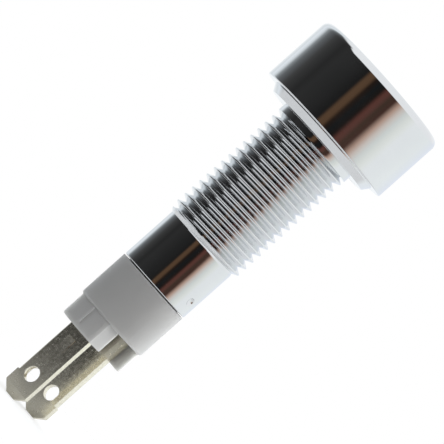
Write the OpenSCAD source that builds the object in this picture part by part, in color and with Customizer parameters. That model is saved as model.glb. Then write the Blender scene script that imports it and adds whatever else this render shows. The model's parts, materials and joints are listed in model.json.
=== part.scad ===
// Panel pilot light with a chromed head, a fine-threaded shank and two 2.8 mm push-on tabs.
// The origin is the centre of the panel seat, the flat rear face of the flange.
// +Z runs along the axis, out of the panel, towards the front of the head.

/* [Head] */
// Outside diameter of the head
head_d = 13.5; // [12.8:0.1:16]
// Length of the head along the axis
head_len = 6.5; // [6.2:0.1:9]
// Wall of the head round the lens chamber
head_wall = 1.5; // [1.2:0.1:1.8]
// Thickness of the front lip that holds the lens in
lip_t = 0.8; // [0.6:0.1:1.2]
// Width of the front lip, measured inwards from the chamber wall
lip_w = 0.7; // [0.5:0.05:0.9]
// Radius of the front outer edge
head_front_r = 0.65; // [0.2:0.05:1]
// Radius of the rear outer edge
head_back_r = 0.2; // [0.05:0.05:0.4]

/* [Flange and spigot] */
// Diameter of the flange that seats on the panel
flange_d = 11.6; // [11:0.1:12.6]
// Thickness of the flange
flange_t = 0.7; // [0.65:0.05:1.5]
// Width across the face of the wide chamfer on the panel side of the flange
flange_chamfer_w = 0.42; // [0.1:0.02:0.5]
// Length along the axis of that chamfer
flange_chamfer_len = 0.5; // [0.1:0.05:0.6]
// Bevel on the front edge of the flange
flange_bevel = 0.1; // [0.05:0.01:0.15]
// Length of the spigot that closes the head from behind
spigot_len = 2; // [1.6:0.1:2.6]

/* [Threaded shank] */
// Outside diameter of the thread, 5/16 inch
thread_d = 7.94; // [7.8:0.02:8.4]
// Pitch of the thread, 32 to the inch
thread_pitch = 0.79375; // [0.6:0.05:1]
// Depth of the thread
thread_depth = 0.48; // [0.3:0.02:0.5]
// Length of the thread along the axis
thread_len = 12.05; // [11:0.05:24]
// Length of the taper at the rear end of the thread
lead_in_len = 0.4; // [0.2:0.05:0.8]
// Diameter of the plain neck under the flange
neck_d = 8; // [7.96:0.01:8.4]
// Length of the plain neck
neck_len = 0.6; // [0.4:0.1:1.5]
// Diameter of the plain barrel behind the thread
barrel_d = 7.1; // [7:0.02:7.4]
// Length of the plain barrel
barrel_len = 5.1; // [4.5:0.1:12]
// Wall of the barrel
barrel_wall = 0.6; // [0.5:0.02:0.62]
// Bevel on the rear rim of the barrel
rim_bevel = 0.1; // [0.05:0.01:0.2]

/* [Staking] */
// Diameter of each punch mark that locks the rear insulator
stake_d = 0.8; // [0.6:0.05:1]
// Depth of each punch mark
stake_depth = 0.2; // [0.1:0.01:0.25]
// Height of the bump that each punch mark raises inside the barrel
stake_bump = 0.15; // [0.08:0.01:0.2]
// Distance from the rear rim of the barrel to the punch marks
stake_inset = 1.3; // [1:0.1:2]

/* [Lens, seal and reflector] */
// Thickness of the lens flange behind the lip
lens_flange_t = 0.7; // [0.5:0.05:1]
// Height of the plain boss of the lens in front of its flange
lens_boss_h = 1; // [0.7:0.05:1.2]
// Rise of the lens crown at its centre
lens_crown = 0.3; // [0.15:0.05:0.5]
// Section diameter of the sealing ring
seal_d = 0.6; // [0.5:0.05:0.7]
// Thickness of the reflector floor
reflector_floor_t = 0.5; // [0.4:0.05:0.8]
// Width of the reflector rim under the lens
reflector_rim_w = 0.6; // [0.3:0.05:1]

/* [Lamp] */
// Diameter of the moulded LED body
led_d = 5; // [4.8:0.05:5.1]
// Diameter of the LED collar
led_collar_d = 5.8; // [5.6:0.02:5.84]
// Thickness of the LED collar
led_collar_t = 1; // [0.8:0.05:1.2]
// Height of the whole LED body
led_h = 8.6; // [8:0.1:9]
// Depth of the flat on the LED collar that marks the cathode
led_flat = 0.3; // [0.2:0.05:0.4]
// Gap between the LED dome and the lens
led_lens_gap = 0.2; // [0.1:0.05:0.4]
// Distance between the two LED leads
led_lead_pitch = 2.54; // [2.4:0.02:2.7]
// Side of the square LED leads
led_lead_w = 0.5; // [0.4:0.02:0.55]
// Length of the anode lead, cut to suit the joint
anode_lead_len = 2.6; // [2.2:0.1:3]
// Length of the cathode lead, cut shorter
cathode_lead_len = 2.3; // [2:0.1:3]
// Diameter of the front collar on the LED holder
holder_collar_d = 6.9; // [6.5:0.1:8.4]
// Thickness of that collar
holder_collar_t = 1; // [0.7:0.05:1.3]

/* [Circuit] */
// Diameter of the series resistor at its end caps
resistor_d = 1.8; // [1.6:0.05:1.9]
// Length of the series resistor
resistor_len = 3.6; // [3:0.1:4]
// Diameter of the resistor between its end caps
resistor_waist_d = 1.55; // [1.4:0.05:1.55]
// Length of each resistor end cap
resistor_cap_len = 0.9; // [0.7:0.05:1.1]
// Diameter of the protection diode
diode_d = 1.8; // [1.6:0.05:1.9]
// Length of the protection diode
diode_len = 3.9; // [3.4:0.1:4]
// Diameter of the component wires
wire_d = 0.5; // [0.4:0.02:0.55]
// Distance from the LED to the component bodies
component_setback = 3.6; // [3.4:0.1:4]
// Length of each solder joint
solder_len = 1.4; // [1.2:0.05:1.5]
// Diameter of each solder joint
solder_d = 1.3; // [1.2:0.05:1.4]
// Wall of the insulating sleeve
sleeve_wall = 0.25; // [0.15:0.01:0.28]

/* [Rear insulator] */
// Diameter of the collar behind the barrel
collar_d = 7.1; // [6.95:0.05:7.6]
// Length of the collar
collar_len = 4.65; // [3.5:0.05:8]
// Radius of the rear edge of the collar
collar_edge_r = 0.25; // [0.1:0.05:0.3]
// Diameter of the terminal block behind the collar
block_d = 6.8; // [6.6:0.05:6.9]
// Length of the terminal block
block_len = 2.2; // [1.5:0.05:4]
// Bevel on the rear edge of the terminal block
block_bevel = 0.1; // [0.05:0.01:0.2]
// Length of the plug inside the barrel
plug_len = 3.45; // [3:0.05:4]
// Gap between the collar and the rim of the barrel
joint_gap = 0.1; // [0.03:0.01:0.3]
// Distance from the axis to the flat side of the block
block_flat_x = 1.84; // [1.6:0.02:2.2]
// Distance from the middle plane to the near wall of the side slot
slot_wall_y = 0.93; // [0.7:0.02:1.1]
// Distance from the axis to the floor of the side slot
slot_floor_x = 0.1; // [0.05:0.05:0.6]
// Width of the locating rib on the block
rib_w = 0.2; // [0.15:0.01:0.4]
// Height of the locating rib
rib_h = 0.1; // [0.05:0.01:0.15]
// Distance from the rear face of the block to the locating rib
rib_inset = 0.35; // [0.2:0.05:0.6]

/* [Terminals] */
// Width of the push-on tabs
tab_w = 2.8; // [2.6:0.05:2.9]
// Thickness of the terminal sheet
tab_t = 0.5; // [0.4:0.02:0.55]
// Distance between the middles of the two tabs
tab_pitch = 4; // [3.9:0.02:4.1]
// Length of the tabs behind the terminal block
tab_len = 7.7; // [6.5:0.1:10]
// Diameter of the hole in each tab
tab_hole_d = 1.4; // [1:0.05:1.5]
// Distance from the tip to the centre of the hole
tab_hole_inset = 2.5; // [1.8:0.05:3]
// Width of the straight end of the tab
tab_tip_w = 1.05; // [0.8:0.05:1.4]
// Length of the cut corners at the tip
tab_tip_len = 0.7; // [0.5:0.05:1]
// Length of the bevel that thins the tip
tab_bevel_len = 0.8; // [0.5:0.05:1.2]
// Thickness left at the tip
tab_tip_t = 0.22; // [0.15:0.01:0.3]
// Height of the folded edge, measured from the outer face
fold_h = 0.9; // [0.7:0.02:1.1]
// Outer radius of the folded edge
fold_r = 0.35; // [0.2:0.01:0.45]
// Distance from the tip to the folded edge
fold_inset = 2; // [1.6:0.05:2.6]
// Length of the folded edge inside the collar
fold_grip = 2.6; // [2:0.1:3.2]
// Width of the locking tongue on the outer face
tongue_w = 0.85; // [0.6:0.05:1.2]
// Length of the locking tongue
tongue_len = 1.55; // [1:0.05:2]
// Height of the free end of the tongue
tongue_h = 0.14; // [0.05:0.01:0.2]
// Distance from the block to the free end of the tongue
tongue_inset = 0.8; // [0.4:0.05:1.2]
// Width of the solder tail
tail_w = 1; // [0.8:0.05:1.3]
// Length of the solder tail in front of the plug
tail_len = 1.7; // [1.5:0.05:2]
// Depth inside the plug at which the tab narrows to its tail
tail_root = 1.4; // [1:0.05:2]

/* [Fits] */
// Clearance round the spigot in the head
spigot_clear = 0.02; // [0.01:0.01:0.05]
// Clearance round the lens, the seal and the reflector in the head
chamber_clear = 0.05; // [0.03:0.01:0.1]
// Clearance round the LED in its holder and its hole in the reflector
led_clear = 0.05; // [0.03:0.01:0.08]
// Clearance round everything that slides into the barrel
bore_clear = 0.05; // [0.03:0.01:0.06]
// Clearance round the terminals in the insulator
pocket_clear = 0.03; // [0.02:0.01:0.05]
// Gap between two wires side by side in a solder joint
wire_gap = 0.02; // [0.01:0.01:0.05]

/* [Hidden] */
$fn = 64;
nudge = 0.01;

// Radii
head_r = head_d / 2;
chamber_r = head_r - head_wall;
lip_r = chamber_r - lip_w;
flange_r = flange_d / 2;
spigot_r = chamber_r - spigot_clear;
thread_r = thread_d / 2;
thread_root_r = thread_r - thread_depth;
neck_r = neck_d / 2;
barrel_r = barrel_d / 2;
bore_r = barrel_r - barrel_wall;
inner_r = bore_r - bore_clear;
block_r = block_d / 2;
led_r = led_d / 2;
holder_collar_r = holder_collar_d / 2;

// Heights, from the front of the head to the tips of the tabs
z_head_back = flange_t;
z_head_front = z_head_back + head_len;
z_lip_back = z_head_front - lip_t;
z_lens_front = z_lip_back - seal_d;
z_lens_back = z_lens_front - lens_flange_t;
z_spigot_front = z_head_back + spigot_len;
z_led_back = z_lens_back - led_lens_gap - led_h;
z_led_collar = z_led_back + led_collar_t;
z_thread_front = -neck_len;
z_thread_back = z_thread_front - thread_len;
z_barrel_back = z_thread_back - barrel_len;
z_stake = z_barrel_back + stake_inset;
z_collar_front = z_barrel_back - joint_gap;
z_plug_front = z_collar_front + plug_len;
z_collar_back = z_collar_front - collar_len;
z_block_back = z_collar_back - block_len;
z_tab_tip = z_block_back - tab_len;
z_tail_front = z_plug_front + tail_len;
z_component = z_led_back - component_setback;
z_solder_rear = (z_tail_front + z_plug_front) / 2;

// Places across the axis
tab_y = tab_pitch / 2;
tab_out_y = tab_y + tab_t / 2;
tab_in_y = tab_y - tab_t / 2;
led_lead_y = led_lead_pitch / 2;
wire_x = led_lead_w / 2 + wire_gap + wire_d / 2;
tail_wire_y = tab_in_y - wire_gap - wire_d / 2;
z_solder_front = z_led_back - cathode_lead_len / 2;

// Turned shapes are drawn as a half section: x is the radius and y the height.
module turned() rotate_extrude($fn = 96) children();

// Half section of a plain ring or tube
module band(r_in, r_out, z_low, z_high)
    translate([r_in, z_low]) square([r_out - r_in, z_high - z_low]);

// Square corner that is left outside a rounded edge, for cutting away.
// It points up and outwards at sx = sy = 1.
module edge_waste(x, y, r, sx, sy)
    difference() {
        translate([x - (sx > 0 ? r : nudge), y - (sy > 0 ? r : nudge)]) square(r + nudge);
        translate([x - sx * r, y - sy * r]) circle(r, $fn = 48);
    }

// Straight round wire from one point to another
module wire_run(a, b, d) {
    v = b - a;
    reach = norm(v);
    translate(a) rotate([0, acos(v.z / reach), atan2(v.y, v.x)])
        cylinder(h = reach, d = d, $fn = 24);
}

// Round wire through a list of points, a little flattened and so wider at each bend
module bent_wire(points, d) {
    bend_d = 1.05 * d;
    for (i = [0:len(points) - 2]) wire_run(points[i], points[i + 1], d);
    for (i = [1:len(points) - 2]) translate(points[i]) sphere(d = bend_d, $fn = 24);
}

// The parts of the circuit lie on two sides of the axis, half a turn apart.
module opposite() rotate([0, 0, 180]) children();

// ---- Chromed metal ----

module bezel_head() color("gainsboro") turned() difference() {
    band(0, head_r, z_head_back, z_head_front);
    edge_waste(head_r, z_head_front, head_front_r, 1, 1);
    edge_waste(head_r, z_head_back, head_back_r, 1, -1);
    band(-nudge, chamber_r, z_head_back - nudge, z_lip_back);
    band(-nudge, lip_r, z_lip_back - nudge, z_head_front + nudge);
    // bevel that leads the eye, and the light, into the lens
    polygon([
        [lip_r - nudge, z_head_front - lip_t / 3],
        [lip_r, z_head_front - lip_t / 3],
        [lip_r + lip_t / 3, z_head_front],
        [lip_r + lip_t / 3, z_head_front + nudge],
        [lip_r - nudge, z_head_front + nudge]
    ]);
}

// Half section of the 60 degree thread, cut back to a taper at its rear end
module thread_section() {
    turns = floor(thread_len / thread_pitch);
    flank = thread_depth * tan(30);
    crest = thread_pitch / 8;
    half_root = (thread_pitch - crest) / 2 - flank;
    difference() {
        polygon(concat(
            [[0, z_thread_front], [thread_root_r, z_thread_front]],
            [for (i = [0:turns - 1])
                let (z = z_thread_front - i * thread_pitch - half_root)
                each [[thread_root_r, z], [thread_r, z - flank],
                    [thread_r, z - flank - crest], [thread_root_r, z - 2 * flank - crest]]],
            [[thread_root_r, z_thread_back], [0, z_thread_back]]
        ));
        polygon([
            [barrel_r, z_thread_back], [thread_r, z_thread_back + lead_in_len],
            [neck_r, z_thread_back + lead_in_len], [neck_r, z_thread_back - nudge],
            [barrel_r, z_thread_back - nudge]
        ]);
    }
}

// Ball that leaves a round mark of the given width and depth
function ball_r(width, depth) = (width * width / 4 + depth * depth) / (2 * depth);

// Punch mark in the outside of the barrel
module stake_mark() {
    r = ball_r(stake_d, stake_depth);
    translate([barrel_r - stake_depth + r, 0, z_stake]) sphere(r, $fn = 48);
}

// Metal that the punch pushes inwards; extra widens it into the notch that it fills
module stake_swell(extra = 0) {
    r = ball_r(stake_d + 4 * stake_bump, stake_bump);
    intersection() {
        translate([bore_r - stake_bump + r, 0, z_stake]) sphere(r + extra, $fn = 48);
        translate([0, 0, z_stake - stake_d - 1])
            cylinder(r = bore_r + barrel_wall / 4, h = 2 * (stake_d + 1), $fn = 96);
    }
}

module threaded_body() color("silver") difference() {
    union() {
        turned() difference() {
            union() {
                band(0, spigot_r, z_head_back - nudge, z_spigot_front);
                polygon([
                    [0, 0], [flange_r - flange_chamfer_w, 0], [flange_r, flange_chamfer_len],
                    [flange_r, flange_t - flange_bevel],
                    [flange_r - flange_bevel, flange_t], [0, flange_t]
                ]);
                band(0, neck_r, z_thread_front, nudge);
                thread_section();
                polygon([
                    [0, z_thread_back + nudge], [barrel_r, z_thread_back + nudge],
                    [barrel_r, z_barrel_back + rim_bevel],
                    [barrel_r - rim_bevel, z_barrel_back], [0, z_barrel_back]
                ]);
            }
            band(-nudge, bore_r, z_barrel_back - nudge, z_spigot_front + nudge);
            band(0, holder_collar_r + led_clear,
                z_spigot_front - holder_collar_t, z_spigot_front + nudge);
        }
        for (side = [0, 180]) rotate([0, 0, side]) stake_swell();
    }
    for (side = [0, 180]) rotate([0, 0, side]) stake_mark();
}

// ---- Front optics ----

// Clear window: a flange behind the lip, a boss in the lip and a low crown
module front_lens() color([0.85, 0.9, 0.92, 0.5]) turned() {
    boss_r = lip_r - chamber_clear;
    crown_r = (boss_r * boss_r + lens_crown * lens_crown) / (2 * lens_crown);
    z_boss = z_lens_front + lens_boss_h;
    band(0, chamber_r - chamber_clear, z_lens_back, z_lens_front);
    band(0, boss_r, z_lens_front - nudge, z_boss);
    intersection() {
        translate([0, z_boss + lens_crown - crown_r]) circle(crown_r, $fn = 96);
        band(0, boss_r, z_boss - nudge, z_boss + lens_crown);
    }
}

// Rubber ring between the lens flange and the lip
module lens_seal() color("dimgray")
    rotate_extrude($fn = 96)
        translate([chamber_r - chamber_clear - seal_d / 2, z_lens_front + seal_d / 2])
            circle(d = seal_d, $fn = 32);

// Bright cup that throws the light forwards and holds the lens off the body
module light_reflector() color("lightgray") turned() {
    out_r = chamber_r - chamber_clear;
    floor_r = led_r + led_clear;
    z_floor = z_spigot_front + reflector_floor_t;
    polygon([
        [floor_r, z_spigot_front], [out_r, z_spigot_front], [out_r, z_lens_back],
        [out_r - reflector_rim_w, z_lens_back], [floor_r + led_clear, z_floor],
        [floor_r, z_floor]
    ]);
}

// ---- Lamp ----

// Nylon bush that carries the LED in the bore and hangs in the spigot by its collar
module led_holder() color("ivory") turned() {
    band(led_r + led_clear, inner_r, z_led_collar, z_spigot_front);
    band(led_r + led_clear, holder_collar_r, z_spigot_front - holder_collar_t, z_spigot_front);
}

module led_lamp() color([0.95, 0.9, 0.85, 0.7]) difference() {
    turned() {
        z_dome = z_led_back + led_h - led_r;
        band(0, led_collar_d / 2, z_led_back, z_led_collar);
        band(0, led_r, z_led_back, z_dome);
        intersection() {
            translate([0, z_dome]) circle(led_r, $fn = 64);
            band(0, led_r, z_dome - nudge, z_dome + led_r);
        }
    }
    // the flat on the collar marks the cathode
    translate([-led_collar_d, -led_collar_d - led_collar_d / 2 + led_flat, z_led_back - nudge])
        cube([2 * led_collar_d, led_collar_d, led_collar_t + nudge]);
}

// Square lead that leaves the back of the LED
module led_lead(length)
    translate([-led_lead_w / 2, led_lead_y - led_lead_w / 2, z_led_back - length])
        cube([led_lead_w, led_lead_w, length]);

module led_anode_lead() color("silver") led_lead(anode_lead_len);

module led_cathode_lead() color("silver") opposite() led_lead(cathode_lead_len);

// ---- Circuit in the shank ----

// Thin tube that keeps the circuit off the metal and presses the LED forwards
module insulating_sleeve() color("wheat")
    turned() band(inner_r - sleeve_wall, inner_r, z_plug_front, z_led_back);

// Half section of one component end, rounded on both of its outer corners
module capped_band(r, z_low, z_high, edge) difference() {
    band(0, r, z_low, z_high);
    edge_waste(r, z_high, edge, 1, 1);
    edge_waste(r, z_low, edge, 1, -1);
}

module series_resistor() color("steelblue")
    translate([wire_x, led_lead_y, z_component - resistor_len]) turned() {
        edge = resistor_cap_len / 4;
        band(0, resistor_waist_d / 2, edge, resistor_len - edge);
        capped_band(resistor_d / 2, 0, resistor_cap_len, edge);
        capped_band(resistor_d / 2, resistor_len - resistor_cap_len, resistor_len, edge);
    }

module protection_diode() color("darkorange") opposite()
    translate([wire_x, led_lead_y, z_component - diode_len]) turned()
        capped_band(diode_d / 2, 0, diode_len, diode_d / 6);

// Straight wire from a component forwards to the LED lead beside it
module front_wire()
    translate([wire_x, led_lead_y, z_component])
        cylinder(d = wire_d, h = component_setback - wire_d, $fn = 24);

// Wire from the back of a component, stepped over to lie on the tail of its terminal
module rear_wire(length) {
    z_start = z_component - length;
    bent_wire([
        [wire_x, led_lead_y, z_start],
        [wire_x, led_lead_y, z_start - wire_d],
        [0, tail_wire_y, z_start - 3 * wire_d],
        [0, tail_wire_y, z_plug_front + wire_d / 2]
    ], wire_d);
}

module resistor_front_wire() color("silver") front_wire();
module resistor_rear_wire() color("silver") rear_wire(resistor_len);
module diode_front_wire() color("silver") opposite() front_wire();
module diode_rear_wire() color("silver") opposite() rear_wire(diode_len);

// Bead of solder with a barrel shape, along the axis of the joint
module solder_bead() turned() difference() {
    band(0, solder_d / 2, -solder_len / 2, solder_len / 2);
    edge_waste(solder_d / 2, solder_len / 2, solder_d / 3, 1, 1);
    edge_waste(solder_d / 2, -solder_len / 2, solder_d / 3, 1, -1);
}

// Bead that joins an LED lead to the wire beside it
module front_solder(lead_len) difference() {
    translate([wire_x / 2, led_lead_y, z_solder_front]) solder_bead();
    led_lead(lead_len);
    front_wire();
}

// Bead that joins a component wire to the tail of its terminal
module rear_solder(length) difference() {
    translate([0, tab_out_y - wire_gap - solder_d / 2, z_solder_rear]) solder_bead();
    terminal();
    rear_wire(length);
}

module anode_solder() color("darkgray") front_solder(anode_lead_len);
module cathode_solder() color("darkgray") opposite() front_solder(cathode_lead_len);
module positive_solder() color("darkgray") rear_solder(resistor_len);
module negative_solder() color("darkgray") opposite() rear_solder(diode_len);

// ---- Terminals ----

// Flat outline of the sheet, seen square on: x across the tab, y along the axis
module terminal_outline(grow = 0) {
    half = tab_w / 2 + grow;
    tip = tab_tip_w / 2 + grow;
    tail = tail_w / 2 + grow;
    z_tip = z_tab_tip - grow;
    z_narrow = z_plug_front - tail_root + grow;
    polygon([
        [-tip, z_tip], [tip, z_tip], [half, z_tip + tab_tip_len], [half, z_narrow],
        [tail, z_narrow], [tail, z_tail_front + grow], [-tail, z_tail_front + grow],
        [-tail, z_narrow], [-half, z_narrow], [-half, z_tip + tab_tip_len]
    ]);
}

// Edge view of the sheet: x through the thickness, y along the axis, thinned at the tip
module terminal_edge() polygon([
    [tab_y - tab_tip_t / 2, z_tab_tip], [tab_y + tab_tip_t / 2, z_tab_tip],
    [tab_out_y, z_tab_tip + tab_bevel_len], [tab_out_y, z_tail_front],
    [tab_in_y, z_tail_front], [tab_in_y, z_tab_tip + tab_bevel_len]
]);

// Stamped terminal on the +Y side: tab, hole, folded edge, locking tongue and solder tail
module terminal() {
    z_fold_back = z_tab_tip + fold_inset;
    z_fold_front = z_collar_back + fold_grip;
    fold_len = z_fold_front - z_fold_back;
    z_tongue = z_block_back - tongue_inset;
    difference() {
        union() {
            intersection() {
                translate([0, tab_out_y, 0]) rotate([90, 0, 0])
                    linear_extrude(tab_t) terminal_outline();
                translate([-tab_w / 2, 0, 0]) rotate([90, 0, 90])
                    linear_extrude(tab_w) terminal_edge();
            }
            // folded edge along the +X side, turned towards the other terminal
            translate([tab_w / 2 - tab_t, tab_out_y - fold_h, z_fold_back])
                cube([tab_t, fold_h - tab_t / 2, fold_len]);
            // tongue lifted out of the outer face, highest next to the block
            translate([-tongue_w / 2, 0, 0]) rotate([90, 0, 90])
                linear_extrude(tongue_w) polygon([
                    [tab_out_y - tab_t / 4, z_tongue - tongue_len], [tab_out_y, z_tongue - tongue_len],
                    [tab_out_y + tongue_h, z_tongue], [tab_out_y - tab_t / 4, z_tongue]
                ]);
        }
        // outer radius of the fold
        translate([0, 0, z_fold_back]) linear_extrude(fold_len)
            edge_waste(tab_w / 2, tab_out_y, fold_r, 1, 1);
        translate([0, tab_y, z_tab_tip + tab_hole_inset]) rotate([90, 0, 0])
            cylinder(d = tab_hole_d, h = 2 * tab_t, center = true, $fn = 48);
    }
}

module positive_terminal() color("darkkhaki") terminal();
module negative_terminal() color("darkkhaki") opposite() terminal();

// ---- Rear insulator ----

// Room for one terminal in the moulding, larger than the sheet by the pocket clearance
module terminal_pocket() {
    c = pocket_clear;
    z_fold_front = z_collar_back + fold_grip;
    translate([0, tab_out_y + c, 0]) rotate([90, 0, 0])
        linear_extrude(tab_t + 2 * c) terminal_outline(c);
    translate([tab_w / 2 - tab_t - c, tab_out_y - fold_h - c, z_block_back - nudge])
        cube([tab_t + 2 * c, fold_h, z_fold_front + c - z_block_back + nudge]);
}

// Flat side of the block and the open slot that the folded edge lies in
module side_cut() {
    wall_y = tab_out_y + pocket_clear;
    z_low = z_block_back - nudge;
    depth = block_len + nudge;
    translate([block_flat_x, -block_d, z_low])
        cube([block_d, block_d + wall_y, depth]);
    translate([slot_floor_x, -slot_wall_y, z_low])
        cube([block_d, slot_wall_y + wall_y, depth]);
}

// Locating rib along the block, with a ramp at its rear end
module block_rib() {
    sink = block_r - rib_h;
    translate([rib_w / 2, 0, 0]) rotate([90, 0, -90])
        linear_extrude(rib_w) polygon([
            [sink, z_block_back + rib_inset], [block_r - nudge, z_block_back + rib_inset],
            [block_r + rib_h, z_block_back + rib_inset + 2 * rib_h],
            [block_r + rib_h, z_collar_back + nudge], [sink, z_collar_back + nudge]
        ]);
}

module rear_insulator() color("whitesmoke") difference() {
    union() {
        turned() difference() {
            union() {
                band(0, inner_r, z_collar_front - nudge, z_plug_front);
                band(0, collar_d / 2, z_collar_back, z_collar_front);
                polygon([
                    [0, z_block_back], [block_r - block_bevel, z_block_back],
                    [block_r, z_block_back + block_bevel],
                    [block_r, z_collar_back + collar_edge_r], [0, z_collar_back + collar_edge_r]
                ]);
            }
            difference() {
                edge_waste(collar_d / 2, z_collar_back, collar_edge_r, 1, -1);
                band(0, block_r, z_collar_back - 1, z_collar_back + 1);
            }
        }
        for (side = [0, 180]) rotate([0, 0, side]) block_rib();
    }
    for (side = [0, 180]) rotate([0, 0, side]) {
        side_cut();
        terminal_pocket();
        stake_swell(pocket_clear);
    }
}

bezel_head();
threaded_body();
front_lens();
lens_seal();
light_reflector();
led_holder();
led_lamp();
led_anode_lead();
led_cathode_lead();
insulating_sleeve();
series_resistor();
resistor_front_wire();
resistor_rear_wire();
protection_diode();
diode_front_wire();
diode_rear_wire();
anode_solder();
cathode_solder();
positive_solder();
negative_solder();
rear_insulator();
positive_terminal();
negative_terminal();
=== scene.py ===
# %% [markdown]
# # Dressing a panel pilot light
#
# A pilot light is a small lamp that sits in a hole in a control panel. This one has a chromed
# head with a clear window, a chromed shank with a fine thread, a grey moulded insulator behind it
# and two stamped tabs that take push-on connectors.
#
# The exact solids come from a CAD model. This script loads them as a fixed frame, gives every one
# of them a finish, and replaces the ones that want rounder edges or finer shapes than the
# solids have. Everything is in metres, and +Z points out of the panel.

# %% Load the frame
import json
import math

import bmesh
import bpy
from mathutils import Matrix, Vector


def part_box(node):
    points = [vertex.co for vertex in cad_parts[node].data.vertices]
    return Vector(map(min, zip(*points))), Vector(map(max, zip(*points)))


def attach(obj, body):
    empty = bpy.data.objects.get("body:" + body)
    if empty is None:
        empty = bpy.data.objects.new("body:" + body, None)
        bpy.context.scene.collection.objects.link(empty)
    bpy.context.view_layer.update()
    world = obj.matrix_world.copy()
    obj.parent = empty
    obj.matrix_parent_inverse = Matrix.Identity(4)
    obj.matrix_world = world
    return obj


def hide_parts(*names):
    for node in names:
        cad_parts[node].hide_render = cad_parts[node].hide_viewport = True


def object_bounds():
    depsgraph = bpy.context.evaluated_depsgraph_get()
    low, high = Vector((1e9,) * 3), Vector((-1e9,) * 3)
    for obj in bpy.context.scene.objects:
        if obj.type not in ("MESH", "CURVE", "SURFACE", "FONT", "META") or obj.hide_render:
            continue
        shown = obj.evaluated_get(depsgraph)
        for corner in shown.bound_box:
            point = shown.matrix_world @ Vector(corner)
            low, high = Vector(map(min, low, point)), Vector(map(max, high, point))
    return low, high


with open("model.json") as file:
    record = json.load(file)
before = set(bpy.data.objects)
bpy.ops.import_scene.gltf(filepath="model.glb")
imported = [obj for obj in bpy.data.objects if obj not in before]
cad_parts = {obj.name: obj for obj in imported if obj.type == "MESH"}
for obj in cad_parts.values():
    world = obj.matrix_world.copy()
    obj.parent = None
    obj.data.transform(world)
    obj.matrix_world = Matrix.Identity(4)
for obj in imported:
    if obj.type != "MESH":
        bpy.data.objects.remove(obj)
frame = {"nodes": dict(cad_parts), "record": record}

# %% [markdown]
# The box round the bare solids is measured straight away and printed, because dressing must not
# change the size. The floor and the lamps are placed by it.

MM = 0.001
cad_low, cad_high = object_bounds()
print("bare model, mm:", [round(v / MM, 2) for v in (*cad_low, *cad_high)])

# %% [markdown]
# Places along the axis are read from the solids, so the dressing always fits them. The model is
# small, and mesh tools lose accuracy on very small numbers. So shapes are drawn in millimetres and
# made metres at the very end.


# %% Read the main places, in millimetres
def low_high(node):
    """Lowest and highest corner of a solid, in millimetres."""
    low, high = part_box(node)
    return low / MM, high / MM


head_low, head_high = low_high("bezel_head")
body_low, body_high = low_high("threaded_body")

z_head_back, z_head_front = head_low.z, head_high.z
z_spigot_front, z_barrel_back = body_high.z, body_low.z
print("head from", round(z_head_back, 2), "to", round(z_head_front, 2), "mm")

# %% [markdown]
# ## Finishes
#
# A finish is a small graph of nodes. Writing the graph as arithmetic keeps it readable, so a
# class wraps one socket and turns Python's operators into Math nodes. The reflected forms let a
# plain number stand on the left, as in `1 - wear`.


# %% A socket that can be used in sums
class Signal:
    """One output of a node, which can be added, scaled and compared like a number."""

    def __init__(self, bench, socket):
        self.bench = bench
        self.socket = socket

    def sum(self, operation, *values):
        return self.bench.node("Math", {"operation": operation}, dict(enumerate(values)))

    def clamped(self):
        """The same value, held between 0 and 1."""
        return self.bench.node("Clamp", inputs={"Value": self})

    def also(self, output):
        """Another output of the node that this signal comes from."""
        return Signal(self.bench, self.socket.node.outputs[output])

    def __add__(self, other):
        return self.sum("ADD", self, other)

    def __radd__(self, other):
        return self.sum("ADD", other, self)

    def __sub__(self, other):
        return self.sum("SUBTRACT", self, other)

    def __rsub__(self, other):
        return self.sum("SUBTRACT", other, self)

    def __mul__(self, other):
        return self.sum("MULTIPLY", self, other)

    def __rmul__(self, other):
        return self.sum("MULTIPLY", other, self)

    def __truediv__(self, other):
        return self.sum("DIVIDE", self, other)

    def __rtruediv__(self, other):
        return self.sum("DIVIDE", other, self)

    def __pow__(self, other):
        return self.sum("POWER", self, other)


# %% [markdown]
# Every other node comes from one method. It takes the node's type, its settings, which are set
# first because some of them change the sockets, and what goes into its sockets.


# %% A bench on which one finish is built
GRAIN_HEIGHT = 0.02 * MM


class Bench:
    """The node graph of one finish, or of the world."""

    def __init__(self, tree):
        self.tree = tree
        tree.nodes.clear()

    def node(self, kind, settings=None, inputs=None, output=0):
        made = self.tree.nodes.new("ShaderNode" + kind)
        for name, value in (settings or {}).items():
            if name == "stops":
                set_stops(made.color_ramp, value)
            else:
                setattr(made, name, value)
        for key, value in (inputs or {}).items():
            if isinstance(value, Signal):
                self.tree.links.new(value.socket, made.inputs[key])
            else:
                made.inputs[key].default_value = value
        return Signal(self, made.outputs[output]) if made.outputs else None

    def mix(self, factor, first, second):
        """Blend of two colours: all first at 0 and all second at 1."""
        return self.node("Mix", {"data_type": "RGBA"}, {0: factor, 6: first, 7: second}, output=2)

    def place(self):
        """Where a point is on the object, in metres."""
        return self.node("TexCoord", output="Object")

    def axes(self, vector):
        """The three parts of a vector, each as a signal of its own."""
        split = self.node("SeparateXYZ", inputs={0: vector})
        return [split.also(axis) for axis in range(3)]

    def speckle(self, where, scale, detail, stretch=(1, 1, 1)):
        """Cloudy noise round one half; scale is in waves a metre and stretch squeezes it."""
        squeezed = self.node("Mapping", inputs={"Vector": where, "Scale": stretch})
        return self.node("TexNoise", inputs={"Vector": squeezed, "Scale": scale, "Detail": detail})

    def ramp(self, value, *stops):
        """A number or colour that follows value through the given stops."""
        return self.node("ValToRGB", {"stops": stops}, {0: value})

    def bump(self, height, strength):
        """A finely rough normal; the roughness is GRAIN_HEIGHT deep at full strength."""
        return self.node("Bump", inputs={
            "Height": height,
            "Strength": strength,
            "Distance": GRAIN_HEIGHT,
        })


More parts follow.
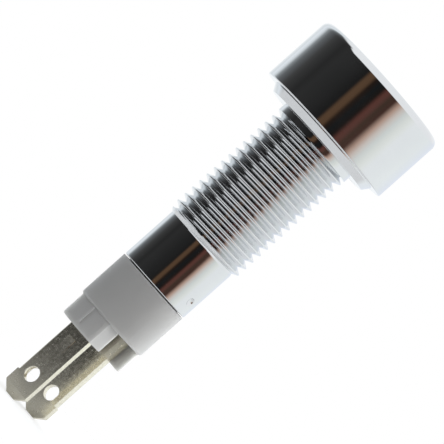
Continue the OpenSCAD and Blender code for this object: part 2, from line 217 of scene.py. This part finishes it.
def set_stops(color_ramp, stops):
    """Puts (position, grey or colour) stops into a colour ramp."""
    while len(color_ramp.elements) < len(stops):
        color_ramp.elements.new(1.0)
    for element, (position, colour) in zip(color_ramp.elements, stops):
        element.position = position
        grey = isinstance(colour, (int, float))
        element.color = (colour, colour, colour, 1) if grey else (*colour, 1)


# %% [markdown]
# The Principled shader covers metal, plastic, rubber and glass alike. What changes over the
# surface is linked, and what is the same all over is set on the shader itself.


# %% Make a finish
def finish(name, build):
    """A new material; build fills a bench and returns the inputs of its Principled shader."""
    material = bpy.data.materials.new(name)
    material.use_nodes = True
    bench = Bench(material.node_tree)
    shader = bench.node("BsdfPrincipled", inputs=build(bench))
    bench.node("OutputMaterial", inputs={"Surface": shader})
    print("made", name)
    return material


# %% [markdown]
# ### Bright chrome
#
# Decorative chrome is a mirror with faults that are too small to see singly: the rings of the
# lathe under the plating, a slight unevenness, and a film of handling that dulls it in patches.
# The rings are noise squeezed along the axis, so they run round the part.


# %% Bright chrome
def chrome(bench):
    where = bench.place()
    film = bench.speckle(where, 260, 3)
    rings = bench.speckle(where, 400, 2, stretch=(0.05, 0.05, 12))
    uneven = bench.speckle(where, 900, 1)
    dull = bench.ramp(film, (0.35, 0.035), (0.75, 0.1))
    tone = bench.mix(film, (0.72, 0.735, 0.75, 1), (0.8, 0.81, 0.82, 1))
    height = rings * 0.6 + uneven * 0.4
    return {
        "Base Color": tone,
        "Metallic": 1.0,
        "Roughness": dull,
        "Normal": bench.bump(height, 0.05),
    }


bright_chrome = finish("bright chrome", chrome)

# %% [markdown]
# ### Grey nylon
#
# The insulator is a natural nylon moulding: a pale grey that light enters a little way, with a
# faint texture from the mould and slow clouds in its tone.


# %% Grey nylon
def grey_nylon(bench):
    where = bench.place()
    cloud = bench.speckle(where, 180, 3)
    grain = bench.speckle(where, 6000, 4)
    tone = bench.mix(cloud, (0.46, 0.46, 0.455, 1), (0.52, 0.52, 0.515, 1))
    return {
        "Base Color": tone,
        "Roughness": bench.ramp(grain, (0.3, 0.38), (0.7, 0.5)),
        "Subsurface Weight": 1.0,
        "Subsurface Radius": (1.0, 1.0, 0.95),
        "Subsurface Scale": 1.2 * MM,
        "Normal": bench.bump(grain, 0.12),
    }


moulded_nylon = finish("grey moulded nylon", grey_nylon)

# %% [markdown]
# ### Terminal plate
#
# The tabs are stamped from brass sheet and plated pale. The plating is satin, not bright: fine
# rolling lines run along the tab, and the tone is a little warm because the plating is thin.


# %% Terminal plate
def plated_sheet(bench):
    where = bench.place()
    rolling = bench.speckle(where, 900, 3, stretch=(9, 9, 0.4))
    stain = bench.speckle(where, 3500, 4)
    patch = bench.ramp(stain, (0.3, 0.0), (0.7, 1.0))
    tone = bench.mix(patch, (0.8, 0.76, 0.63, 1), (0.92, 0.88, 0.76, 1))
    return {
        "Base Color": tone,
        "Metallic": 1.0,
        "Roughness": bench.ramp(patch * 0.6 + rolling * 0.4, (0.2, 0.2), (0.8, 0.28)),
        "Normal": bench.bump(rolling * 0.5 + stain * 0.5, 0.1),
    }


tab_plate = finish("plated terminal sheet", plated_sheet)

# %% [markdown]
# ### Inside finishes
#
# The pieces behind the window and inside the shank follow one pattern: a tone that drifts between
# two colours, a roughness that drifts with it, and a fine grain in the bump.


# %% Plain inside finishes
def drifting(first, second, rough, metallic=0.0, grain_scale=3000, **extra):
    """A build function for a plain finish whose tone and roughness drift over the piece."""

    def build(bench):
        where = bench.place()
        cloud = bench.speckle(where, 600, 3)
        grain = bench.speckle(where, grain_scale, 3)
        inputs = {
            "Base Color": bench.mix(cloud, (*first, 1), (*second, 1)),
            "Metallic": metallic,
            "Roughness": bench.ramp(cloud, (0.3, rough * 0.8), (0.7, min(1, rough * 1.2))),
            "Normal": bench.bump(grain, 0.1),
        }
        inputs.update(extra)
        return inputs

    return build


acrylic = {"Transmission Weight": 1.0, "IOR": 1.49}
epoxy = {"Transmission Weight": 0.25, "IOR": 1.53}
clear_window = finish("clear window", drifting(
    (0.97, 0.98, 0.98), (1, 1, 1), 0.03, grain_scale=500, **acrylic))
milky_resin = finish("lamp resin", drifting(
    (0.93, 0.9, 0.82), (0.97, 0.95, 0.89), 0.12, grain_scale=500, **epoxy))
seal_rubber = finish("seal rubber", drifting((0.02, 0.02, 0.02), (0.045, 0.045, 0.045), 0.55))
cup_metal = finish("reflector metal", drifting((0.8, 0.81, 0.82), (0.88, 0.88, 0.88), 0.16, 1.0))
bush_nylon = finish("bush nylon", drifting((0.78, 0.76, 0.7), (0.84, 0.82, 0.77), 0.45))
tinned_wire = finish("tinned wire", drifting((0.7, 0.69, 0.66), (0.8, 0.79, 0.76), 0.3, 1.0))
sleeve_plastic = finish("sleeve plastic", drifting((0.7, 0.62, 0.42), (0.78, 0.7, 0.5), 0.35))
resistor_enamel = finish("resistor enamel", drifting((0.12, 0.27, 0.4), (0.17, 0.34, 0.47), 0.35))
diode_glass = finish("diode glass", drifting((0.55, 0.16, 0.04), (0.65, 0.25, 0.08), 0.12))
solder_metal = finish("solder", drifting((0.6, 0.6, 0.58), (0.72, 0.72, 0.7), 0.35, 1.0))

FINISHES = {
    "chrome_plate": bright_chrome,
    "lens_clear": clear_window,
    "seal_rubber": seal_rubber,
    "reflector_aluminium": cup_metal,
    "holder_nylon": bush_nylon,
    "led_epoxy": milky_resin,
    "tinned_wire": tinned_wire,
    "sleeve_plastic": sleeve_plastic,
    "resistor_enamel": resistor_enamel,
    "diode_glass": diode_glass,
    "solder_metal": solder_metal,
    "insulator_nylon": moulded_nylon,
    "terminal_plate": tab_plate,
}
print("finishes:", len(FINISHES))

# %% [markdown]
# Each solid already names its material slot in the record. The finish for that slot goes on the
# solid, so even the pieces that nobody sees are properly finished.

# %% Put the finishes on the solids
slot_of = {part["node"]: part["material_slot"] for part in frame["record"]["subparts"]}
for node_name, solid in frame["nodes"].items():
    solid.data.materials.clear()
    solid.data.materials.append(FINISHES[slot_of[node_name]])
print("finished solids:", len(frame["nodes"]))

# %% [markdown]
# ## Turned pieces
#
# A lathe makes shapes by cutting a profile into a spinning bar, and Blender's spin does the same.
# The profile is drawn as one flat face, its corners are rounded with a vertex bevel, and then its
# outline is spun through a full turn.


# %% Spin a profile
TURN_STEPS = 192


def rounded(bm, verts, width, steps):
    """Rounds the given corners of a line or an outline."""
    bmesh.ops.bevel(bm, geom=verts, offset=width, offset_type="OFFSET", affect="VERTICES",
        segments=steps, profile=0.5, material=-1)


def spin(bm, geom, rise=0.0, merge=True):
    """Spins a line once round the axis; each of the steps may also rise a little."""
    bmesh.ops.spin(bm, geom=geom, cent=(0, 0, 0), axis=(0, 0, 1), dvec=(0, 0, rise),
        angle=2 * math.pi, steps=TURN_STEPS, use_merge=merge, use_duplicate=False)


def turn(corners, rounding_steps):
    """A closed turned shape from the (radius, height, rounding) corners of its profile."""
    bm = bmesh.new()
    verts = [bm.verts.new((radius, 0, height)) for radius, height, rounding in corners]
    bm.faces.new(verts)
    for vert, (radius, height, rounding) in zip(verts, corners):
        if rounding:
            rounded(bm, [vert], rounding, rounding_steps)
    bmesh.ops.delete(bm, geom=bm.faces[:], context="FACES_ONLY")
    spin(bm, bm.verts[:] + bm.edges[:])
    return bm


# %% [markdown]
# Every new piece ends the same way. Doubled vertices are merged, the normals are turned outwards,
# faces are smoothed except across real edges, and the mesh becomes metres. A Weighted Normal
# modifier keeps large flat faces flat beside their rounded edges.


# %% Finish a piece
SHARP_ANGLE = math.radians(38)


def make_piece(bm, name, slot_name, nodes):
    bmesh.ops.remove_doubles(bm, verts=bm.verts[:], dist=0.0004)
    bmesh.ops.recalc_face_normals(bm, faces=bm.faces[:])
    for face in bm.faces:
        face.smooth = True
    for edge in bm.edges:
        edge.smooth = edge.calc_face_angle(0) < SHARP_ANGLE
    bmesh.ops.scale(bm, vec=(MM, MM, MM), verts=bm.verts[:])
    open_edges = sum(1 for edge in bm.edges if len(edge.link_faces) != 2)
    mesh = bpy.data.meshes.new(name)
    bm.to_mesh(mesh)
    bm.free()
    mesh.materials.append(FINISHES[slot_name])
    piece = bpy.data.objects.new(name, mesh)
    bpy.context.scene.collection.objects.link(piece)
    weighted = piece.modifiers.new("Weighted normals", "WEIGHTED_NORMAL")
    weighted.keep_sharp = True
    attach(piece, "root")
    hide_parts(*nodes)
    mesh.calc_loop_triangles()
    print(name, "triangles:", len(mesh.loop_triangles), "open edges:", open_edges)


# %% [markdown]
# ### The head
#
# The head is a chromed brass cup, turned from bar and closed from behind. Its outer front edge is
# well rounded, its lip leads into the window with a small bevel, and inside it is a plain chamber.

# %% Turn the head
HEAD_WALL = 1.5
LIP_WIDTH, LIP_DEPTH = 0.7, 0.8
head_r = head_high.x
chamber_r = head_r - HEAD_WALL
lip_r = chamber_r - LIP_WIDTH
z_lip_back = z_head_front - LIP_DEPTH
lip_bevel = LIP_DEPTH / 3

head = turn([
    (head_r, z_head_front, 0.65),
    (head_r, z_head_back, 0.14),
    (chamber_r, z_head_back, 0),
    (chamber_r, z_lip_back, 0),
    (lip_r, z_lip_back, 0.05),
    (lip_r, z_head_front - lip_bevel, 0.06),
    (lip_r + lip_bevel, z_head_front, 0.06),
], rounding_steps=8)
make_piece(head, "chrome_head", "chrome_plate", ["bezel_head"])

# %% [markdown]
# ### The threaded body
#
# A real thread is one groove that climbs round and round. The profile of the whole thread is drawn
# once as a zigzag line and spun through one turn, rising by one pitch on the way. After that turn
# every tooth meets the start of the next one, and merging the doubled vertices joins them. The
# thread is right-handed, as nearly all threads are, so it rises with the direction of the spin.

# %% Sizes of the body
PITCH = 0.79375
CREST_FLAT = 0.1
LEAD_IN = 0.42
HALF_ANGLE = math.radians(30)
ROOT_SLOPE = 0.4
NEAR = 0.001
flange_r = body_high.x
thread_r = 3.97
barrel_r = 3.55
neck_r = 4.0
bore_r = 2.95
spigot_r = chamber_r - 0.02
counterbore_r = 3.5
flange_chamfer = 0.42
z_counterbore = z_spigot_front - 1
z_thread_front = -0.6
z_thread_back = z_barrel_back + 5.1
z_one_crest = -11.366
print("turns of thread:", round((z_thread_front - z_thread_back) / PITCH, 2))

# %% [markdown]
# The zigzag has sharp corners at first. A vertex bevel with one segment cuts each crest to a narrow
# flat, and a second one rounds the two edges of the flat, so that each of them catches a thin line
# of light. The roots are hardly rounded. The flanks are then cut into short steps, so that the
# lead-in taper can bend them later.


# %% Cut the thread
def thread_shell():
    """The outside of the thread as an open shell, longer than it needs to be."""
    sharp_crest = thread_r + CREST_FLAT / 2 / math.tan(HALF_ANGLE)
    sharp_root = sharp_crest - PITCH * math.cos(HALF_ANGLE)
    bm = bmesh.new()
    crests = []
    roots = []
    z = z_one_crest - 3 * PITCH
    while z < z_thread_front + PITCH:
        roots.append(bm.verts.new((sharp_root, 0, z - PITCH / 2)))
        crests.append(bm.verts.new((sharp_crest, 0, z)))
        z += PITCH
    line = [vert for pair in zip(roots, crests) for vert in pair]
    for pair in zip(line, line[1:]):
        bm.edges.new(pair)
    rounded(bm, roots[1:], 0.02, 2)
    rounded(bm, crests[:-1], CREST_FLAT, 1)
    corners = [vert for vert in bm.verts if abs(vert.co.x - thread_r) < NEAR]
    rounded(bm, corners, 0.022, 3)
    flanks = [edge for edge in bm.edges if edge.calc_length() > 0.3]
    bmesh.ops.subdivide_edges(bm, edges=flanks, cuts=3)
    spin(bm, bm.verts[:] + bm.edges[:], rise=PITCH / TURN_STEPS, merge=False)
    bmesh.ops.remove_doubles(bm, verts=bm.verts[:], dist=0.002)
    return bm


body = thread_shell()
print("thread shell faces:", len(body.faces))


# %% [markdown]
# The helix is longer than the thread. Two level cuts trim it. At its rear end the crests are held
# down under a slanting limit, which is the lead-in taper, and the roots run out onto the barrel.
# At the cut both limits meet at the radius of the barrel, so the shell ends in a true circle.


# %% Trim the thread
def cut_level(bm, z, keep_above):
    """Cuts a shell at height z and drops the part on the other side."""
    bmesh.ops.bisect_plane(bm, geom=bm.verts[:] + bm.edges[:] + bm.faces[:], dist=0.0005,
        plane_co=(0, 0, z), plane_no=(0, 0, 1), clear_inner=keep_above, clear_outer=not keep_above)


def set_radius(vert, radius):
    reach = math.hypot(vert.co.x, vert.co.y)
    vert.co.x *= radius / reach
    vert.co.y *= radius / reach


cut_level(body, z_thread_front, keep_above=False)
cut_level(body, z_thread_back, keep_above=True)
for vert in body.verts:
    reach = math.hypot(vert.co.x, vert.co.y)
    up = vert.co.z - z_thread_back
    most = barrel_r + up * (thread_r - barrel_r) / LEAD_IN
    least = barrel_r - up * ROOT_SLOPE
    set_radius(vert, max(min(reach, most), least))

# %% [markdown]
# Where the plane cut across slanting edges it left extra vertices between the columns of the mesh.
# They are welded to their nearest neighbours, so that each end has one vertex a column.


# %% Tidy the cut ends
def column_of(vert):
    return math.atan2(vert.co.y, vert.co.x) / (2 * math.pi) * TURN_STEPS


def weld_to_columns(bm, z):
    ring = [vert for vert in bm.verts if vert.is_boundary and abs(vert.co.z - z) < NEAR]
    columns = {}
    for vert in ring:
        if abs(column_of(vert) - round(column_of(vert))) < 0.01:
            columns[round(column_of(vert)) % TURN_STEPS] = vert
    kept = set(columns.values())
    extra = {vert: columns[round(column_of(vert)) % TURN_STEPS] for vert in ring
        if vert not in kept}
    bmesh.ops.weld_verts(bm, targetmap=extra)
    print("columns:", len(columns), "welded:", len(extra))


weld_to_columns(body, z_thread_front)
weld_to_columns(body, z_thread_back)

# %% [markdown]
# The rest of the body is one more line: from the front of the thread over the flange and through
# the bore to the rear rim, and back along the barrel to the thread. It is spun in the same mesh,
# and a bridge joins it to the thread at each end.


# %% Turn the rest of the body
BRIDGE_GAP = 0.1
BARREL_CUTS = 40
LINE_ROUNDING_STEPS = 5


def draw_line(bm, corners):
    """Draws an open profile from (radius, height, rounding) corners."""
    verts = [bm.verts.new((radius, 0, height)) for radius, height, rounding in corners]
    for pair in zip(verts, verts[1:]):
        bm.edges.new(pair)
    for vert, (radius, height, rounding) in zip(verts, corners):
        if rounding:
            rounded(bm, [vert], rounding, LINE_ROUNDING_STEPS)


def loose(things):
    """The vertices or edges that no face uses yet."""
    return [thing for thing in things if not thing.link_faces]


draw_line(body, [
    (neck_r, z_thread_front, 0),
    (neck_r, 0, 0.02),
    (flange_r - flange_chamfer, 0, 0.04),
    (flange_r, z_head_back - 0.06, 0.02),
    (flange_r, z_head_back, 0),
    (spigot_r, z_head_back, 0),
    (spigot_r, z_spigot_front, 0.1),
    (counterbore_r, z_spigot_front, 0),
    (counterbore_r, z_counterbore, 0),
    (bore_r, z_counterbore, 0),
    (bore_r, z_barrel_back, 0.03),
    (barrel_r, z_barrel_back, 0.1),
    (barrel_r, z_thread_back - BRIDGE_GAP, 0),
])
barrel_line = [edge for edge in loose(body.edges)
    if min(vert.co.x for vert in edge.verts) > barrel_r - NEAR and edge.calc_length() > 4]
bmesh.ops.subdivide_edges(body, edges=barrel_line, cuts=BARREL_CUTS)
spin(body, loose(body.verts) + loose(body.edges))
open_edges = [edge for edge in body.edges if len(edge.link_faces) == 1]
slack = 0.01
front_gap = (z_thread_front - slack, 0)
rear_gap = (z_thread_back - BRIDGE_GAP - slack, z_thread_back + slack)
for z_low, z_high in (front_gap, rear_gap):
    pair = [edge for edge in open_edges if all(z_low < vert.co.z < z_high for vert in edge.verts)]
    bmesh.ops.bridge_loops(body, edges=pair)
    print("bridged edges:", len(pair))

# %% [markdown]
# Two punch marks lock the insulator into the barrel. The mesh is made finer round each mark, and
# every vertex inside it is pushed in onto the ball of the punch.

# %% Punch the marks
z_stake = z_barrel_back + 1.3
MARK_R, MARK_DEPTH = 0.4, 0.2
fine_r = MARK_R + 0.25
punch_r = (MARK_R ** 2 + MARK_DEPTH ** 2) / (2 * MARK_DEPTH)
for side in (1, -1):
    centre = Vector((side * barrel_r, 0, z_stake))
    patch = [edge for edge in body.edges
        if all((vert.co - centre).length < fine_r for vert in edge.verts)]
    bmesh.ops.subdivide_edges(body, edges=patch, cuts=2, use_grid_fill=True)
    for vert in body.verts:
        if (vert.co - centre).length < fine_r:
            set_radius(vert, barrel_r)
            off = math.hypot(vert.co.y, vert.co.z - z_stake)
            if off < MARK_R:
                vert.co.x -= side * (math.sqrt(punch_r ** 2 - off ** 2) - punch_r + MARK_DEPTH)
make_piece(body, "threaded_shank", "chrome_plate", ["threaded_body"])


# %% [markdown]
# ## Stamped and moulded pieces
#
# The solids of the insulator and the tabs are right in shape, but their edges are razor sharp. A
# moulding leaves the mould with small radii, and a plated stamping has soft edges too. So a copy of
# each solid is merged, its flat areas are made single faces, and its edges get a small bevel. The
# tongue of each tab is pressed down at the same time, to stand 0.07 mm proud of the tab's face.


# %% Soften the edges of a copied solid
SOFTENED_ANGLE = math.radians(30)
TONGUE_Y = 2.25 + 0.07


def softened(node, name, width, most_y=math.inf):
    """Replaces a solid with a copy that has soft edges and keeps within most_y of the axis."""
    bm = bmesh.new()
    bm.from_mesh(frame["nodes"][node].data)
    bmesh.ops.scale(bm, vec=(1 / MM,) * 3, verts=bm.verts[:])
    for vert in bm.verts:
        if abs(vert.co.y) > most_y:
            vert.co.y = math.copysign(most_y, vert.co.y)
    bmesh.ops.remove_doubles(bm, verts=bm.verts[:], dist=0.0005)
    bmesh.ops.dissolve_limit(bm, angle_limit=math.radians(1), verts=bm.verts[:], edges=bm.edges[:],
        use_dissolve_boundaries=False)
    edges = [edge for edge in bm.edges if edge.calc_face_angle(0) > SOFTENED_ANGLE]
    bmesh.ops.bevel(bm, geom=edges, offset=width, offset_type="OFFSET", affect="EDGES",
        segments=2, profile=0.5, material=-1, clamp_overlap=True)
    make_piece(bm, name, slot_of[node], [node])


softened("rear_insulator", "moulded_insulator", 0.05)
softened("positive_terminal", "tab_positive", 0.03, TONGUE_Y)
softened("negative_terminal", "tab_negative", 0.03, TONGUE_Y)

# %% [markdown]
# ## Stage
#
# The floor is a plain white disc under the tips of the tabs. It carries the shadow of the object,
# and it fades out into the white backdrop before its rim. Seen directly or through a clear piece
# it glows a little, so that it matches the backdrop. Mirror finishes see a little over half of
# it, because the tent round the object is pale below as well. Seen from below it isn't there, so
# the tabs can be looked at.

# %% Lay the floor
FLOOR_RADIUS = 60 * MM
GLOW = 0.3
LOST_IN_MIRRORS = 0.45
floor_bm = bmesh.new()
bmesh.ops.create_circle(floor_bm, cap_ends=True, cap_tris=False, segments=96, radius=FLOOR_RADIUS)
floor_mesh = bpy.data.meshes.new("floor")
floor_bm.to_mesh(floor_mesh)
floor_bm.free()
floor_mesh.transform(Matrix.Translation((0, 0, cad_low.z)))
floor = bpy.data.objects.new("floor", floor_mesh)
bpy.context.scene.collection.objects.link(floor)

floor_material = bpy.data.materials.new("pale floor")
floor_material.use_nodes = True
bench = Bench(floor_material.node_tree)
x, y, z = bench.axes(bench.place())
faded = bench.ramp((x * x + y * y) ** 0.5 / FLOOR_RADIUS, (0.35, 0.0), (0.9, 1.0))
path = bench.node("LightPath", output="Is Camera Ray")
glossy = path.also("Is Glossy Ray")
through = path.also("Is Transmission Ray")
direct = path.sum("MINIMUM", path + through, 1.0)
behind = bench.node("NewGeometry", output="Backfacing")
paint = bench.node("BsdfDiffuse", inputs={"Color": (0.8, 0.8, 0.8, 1)})
glow = bench.node("Emission", inputs={"Color": (1, 1, 1, 1), "Strength": GLOW})
lifted = bench.node("AddShader", inputs={0: paint, 1: glow})
seen = bench.node("MixShader", inputs={0: direct, 1: paint, 2: lifted})
clear = bench.node("BsdfTransparent")
hidden = behind.sum("MAXIMUM", behind.sum("MAXIMUM", behind, glossy * LOST_IN_MIRRORS), faded)
either = bench.node("MixShader", inputs={0: hidden, 1: seen, 2: clear})
bench.node("OutputMaterial", inputs={"Surface": either})
floor_mesh.materials.append(floor_material)
print("floor at height, mm:", round(cad_low.z / MM, 2))

# %% [markdown]
# ## Light
#
# Chrome shows nothing but its surroundings, so the room is half of its finish. The world is a
# bright pale tent with one dark gap in it, level with the part: the unlit side of the room where
# the camera stands. The gap has warm stripes in it, as wood and skin give them. Round matt pieces
# take their soft shading from the same tent.
#
# The band of the tent is a ramp over the compass direction, in degrees. Each stop below is a
# direction and the colour that the tent has there.

# %% Colours round the tent
BAND = [
    (-225, (0.95, 0.98, 1.0)),
    (-209, (0.80, 0.85, 0.88)),
    (-201, (0.90, 0.95, 1.0)),
    (-193, (0.74, 0.79, 0.82)),
    (-185, (0.287, 0.31, 0.324)),
    (-177, (0.146, 0.155, 0.162)),
    (-169, (0.10, 0.105, 0.11)),
    (-161, (0.062, 0.062, 0.062)),
    (-153, (0.045, 0.045, 0.045)),
    (-137, (0.026, 0.026, 0.026)),
    (-125, (0.031, 0.031, 0.031)),
    (-97, (0.022, 0.022, 0.022)),
    (-81, (0.013, 0.013, 0.013)),
    (-76, (0.11, 0.063, 0.036)),
    (-70, (0.105, 0.06, 0.034)),
    (-65, (0.019, 0.012, 0.009)),
    (-57, (0.011, 0.013, 0.014)),
    (-49, (0.014, 0.011, 0.0095)),
    (-43, (0.115, 0.045, 0.035)),
    (-39, (0.11, 0.0475, 0.038)),
    (-33, (0.058, 0.036, 0.026)),
    (-25, (0.063, 0.031, 0.024)),
    (-17, (0.52, 0.355, 0.28)),
    (-9, (0.70, 0.63, 0.58)),
    (-1, (0.74, 0.78, 0.76)),
    (7, (0.84, 0.87, 0.83)),
    (15, (0.91, 0.94, 0.91)),
    (23, (0.94, 0.97, 0.98)),
    (67, (0.96, 1.0, 1.0)),
    (100, (0.87, 0.92, 1.0)),
    (119, (0.80, 0.84, 0.92)),
]
START = -241


def at(degrees):
    """Place of a compass direction along a ramp, from 0 to 1."""
    return (degrees - START) / 360


# %% [markdown]
# The gap is low. Above and below it the tent is pale again, and the edge between them is soft. Its
# upper edge is low over most of the gap and far higher at its left end. The stripes lean a
# little, because things close by don't stand in quite the same direction from head and barrel.

# %% Build the tent
PALE = (0.97, 0.985, 1.0)
DIMMER = (0.76, 0.77, 0.78)
EDGE_SOFTNESS = 0.12
LOWER_EDGE = -0.36
LEAN = 8
world = bpy.data.worlds.new("tent")
bpy.context.scene.world = world
world.use_nodes = True
bench = Bench(world.node_tree)
east, north, rise = bench.axes(bench.node("TexCoord", output="Generated"))
turned = north.sum("ARCTAN2", north, east) * (180 / math.pi)
wrapped = turned.sum("WRAP", turned, START + 360, START)
low_down = (1 - rise / 0.045).clamped()
on_the_right = ((wrapped + 95) / 12).clamped()
around = (wrapped - LEAN * low_down * on_the_right - START) / 360
band = bench.ramp(around, *((at(degrees), colour) for degrees, colour in BAND))
top_edge = bench.ramp(
    around, (at(-195), 0.64), (at(-138), 0.60), (at(-116), 0.16), (at(-25), 0.16))
above = ((rise - top_edge) / EDGE_SOFTNESS).clamped()
below = ((LOWER_EDGE - rise) / EDGE_SOFTNESS).clamped()
upper = bench.mix(above, band, (*PALE, 1))
tent = bench.mix(below, upper, (*DIMMER, 1))
path = bench.node("LightPath", output="Is Camera Ray")
room = bench.node("Background", inputs={"Color": tent, "Strength": 1.0})
backdrop = bench.node("Background", inputs={"Color": (1, 1, 1, 1), "Strength": 1.0})
whole = bench.node("MixShader", inputs={0: path, 1: room, 2: backdrop})
bench.node("OutputWorld", inputs={"Surface": whole})
print("colours round the tent:", len(BAND))

# %% [markdown]
# A soft lamp stands at the back on the right. It lightens that side of the matt insulator. A
# weaker one at the back on the left lifts the other rim. They aren't seen in the chrome, which
# shows the tent alone.

# %% Add the lamps
LAMP_DISTANCE = 0.3


def soft_lamp(name, azimuth, size, power):
    """A square lamp level with the middle of the part and aimed at it; power is in watts."""
    light = bpy.data.lights.new(name, "AREA")
    light.size = size
    light.energy = power
    lamp = bpy.data.objects.new(name, light)
    turned = math.radians(azimuth)
    towards = Vector((math.cos(turned), math.sin(turned), 0))
    spot = (cad_low + cad_high) / 2 + towards * LAMP_DISTANCE
    facing = towards.to_track_quat("Z", "Y").to_matrix().to_4x4()
    lamp.matrix_world = Matrix.Translation(spot) @ facing
    lamp.visible_glossy = False
    bpy.context.scene.collection.objects.link(lamp)
    print("lamp:", name, power, "W")


soft_lamp("side lamp", 53, 0.15, 0.6)
soft_lamp("rim lamp", 140, 0.1, 0.4)

# %% [markdown]
# ## Camera
#
# The camera looks almost square at the axis from a little way off, and is rolled so that the head
# points up to the right.

# %% Set up the camera
VIEW_AZIMUTH = math.radians(33)
ROLL = math.radians(41.65)
DISTANCE = 0.32
FIELD = 0.0362
SENSOR = 36
sideways = Vector((math.sin(VIEW_AZIMUTH), -math.cos(VIEW_AZIMUTH), 0))
across = Vector((math.cos(VIEW_AZIMUTH), math.sin(VIEW_AZIMUTH), 0))
aside = across * 0.19 * MM
look_at = Vector((0, 0, -10.2 * MM)) - aside
stand = Vector((0, 0, -13.8 * MM)) - aside + sideways * DISTANCE
back = (stand - look_at).normalized()
along = (Vector((0, 0, 1)) - back * back.z).normalized()
beside = along.cross(back)
right = along * math.cos(ROLL) + beside * math.sin(ROLL)
up = along * math.sin(ROLL) - beside * math.cos(ROLL)
lens = bpy.data.cameras.new("camera")
lens.sensor_width = SENSOR
lens.lens = SENSOR * DISTANCE / FIELD
lens.clip_start = 0.01
lens.clip_end = 10
camera = bpy.data.objects.new("camera", lens)
bpy.context.scene.collection.objects.link(camera)
camera.matrix_world = Matrix.Translation(stand) @ Matrix((right, up, back)).transposed().to_4x4()
bpy.context.scene.camera = camera
print("lens, mm:", round(lens.lens, 1))

# %% [markdown]
# The standard view transform shows colours as they are written.

# %% View transform
bpy.context.scene.view_settings.view_transform = "Standard"
